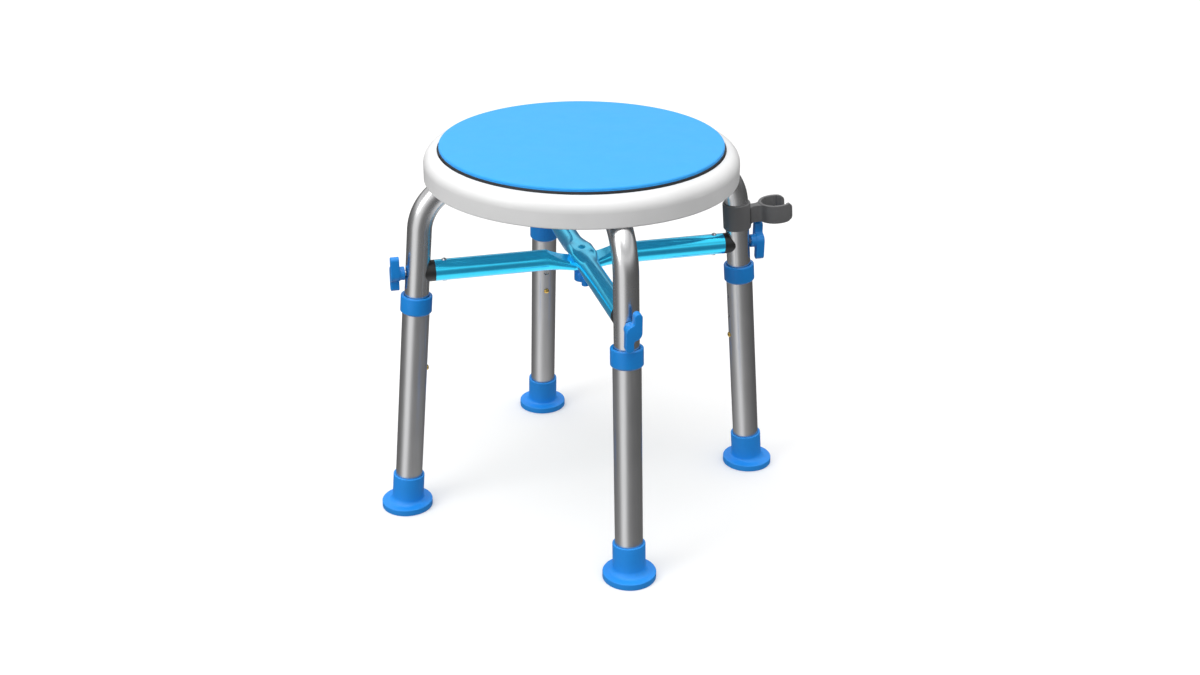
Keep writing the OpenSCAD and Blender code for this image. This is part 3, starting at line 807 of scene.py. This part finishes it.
def soft_box(name, turn_deg, elevation_deg, distance, size, power):
    """An area light aimed at the stool's middle. Turn 0 is behind the camera and 90 is to its right."""
    middle = Vector((0, 0, 0.2))
    data = bpy.data.lights.new(name, "AREA")
    data.shape = "RECTANGLE"
    data.size, data.size_y = size
    data.energy = power
    made = bpy.data.objects.new(name, data)
    bpy.context.scene.collection.objects.link(made)
    turn = VIEW_TURN + math.radians(turn_deg)
    rise = math.radians(elevation_deg)
    away = Vector((math.sin(turn) * math.cos(rise), -math.cos(turn) * math.cos(rise), math.sin(rise)))
    made.location = middle + away * distance
    made.rotation_mode = "QUATERNION"
    made.rotation_quaternion = away.to_track_quat("Z", "Y")


def world():
    """A pale studio, fixed in the room.

    It is white to the camera. Matt surfaces get a plain gradient that is bright overhead. Reflections
    show a soft bright panel at the left of the photographer, a graded room and a white floor below.
    """
    made = bpy.data.worlds.new("studio")
    bpy.context.scene.world = made
    made.use_nodes = True
    tree = made.node_tree

    direction = tree.nodes.new("ShaderNodeTexCoord").outputs["Generated"]

    def facing(axis):
        """From 0 when looking against the axis to 1 along it."""
        dot = tree.nodes.new("ShaderNodeVectorMath")
        dot.operation = "DOT_PRODUCT"
        dot.inputs[1].default_value = axis
        tree.links.new(direction, dot.inputs[0])
        spread = tree.nodes.new("ShaderNodeMapRange")
        spread.inputs["From Min"].default_value = -1
        tree.links.new(dot.outputs["Value"], spread.inputs["Value"])
        return spread.outputs["Result"]

    def curve(value, points):
        """Maps a value from 0 to 1 through grey (position, level) stops, with smooth runs."""
        made_ramp = tree.nodes.new("ShaderNodeValToRGB")
        made_ramp.color_ramp.interpolation = "B_SPLINE"
        stops = made_ramp.color_ramp.elements
        stops[0].position = points[0][0]
        stops[1].position = points[-1][0]
        for position, _ in points[1:-1]:
            stops.new(position)
        for stop, (_, level) in zip(stops, points):
            stop.color = (level, level, level, 1)
        tree.links.new(value, made_ramp.inputs["Fac"])
        return made_ramp.outputs["Color"]

    def choose(share, usual):
        """A mix node that gives the usual level where share is 0. Its input B holds the other level."""
        mix = tree.nodes.new("ShaderNodeMix")
        tree.links.new(share, mix.inputs["Factor"])
        tree.links.new(usual, mix.inputs["A"])
        return mix

    turn = VIEW_TURN - math.radians(PANEL_LEFT_DEG)
    panel_at = (math.sin(turn) * PANEL_ACROSS, -math.cos(turn) * PANEL_ACROSS, PANEL_RISE)
    height = facing((0, 0, 1))
    reflected = tree.nodes.new("ShaderNodeMath")
    reflected.operation = "ADD"
    tree.links.new(curve(facing(panel_at), PANEL), reflected.inputs[0])
    tree.links.new(curve(height, ROOM_REFLECTED), reflected.inputs[1])
    path = tree.nodes.new("ShaderNodeLightPath")
    unseen = choose(path.outputs["Is Diffuse Ray"], reflected.outputs["Value"])
    tree.links.new(curve(height, ROOM_LIGHT), unseen.inputs["B"])
    level = choose(path.outputs["Is Camera Ray"], unseen.outputs["Result"])
    level.inputs["B"].default_value = 1
    background = tree.nodes["Background"]
    background.inputs["Color"].default_value = (1, 1, 1, 1)
    tree.links.new(level.outputs["Result"], background.inputs["Strength"])


def studio():
    bpy.context.scene.view_settings.view_transform = "Standard"
    camera()
    floor()
    world()
    soft_box("overhead", -25, 76, 1.9, (1.6, 1.6), 12)
    soft_box("key", -55, 30, 2.0, (0.9, 1.2), 9)


studio()
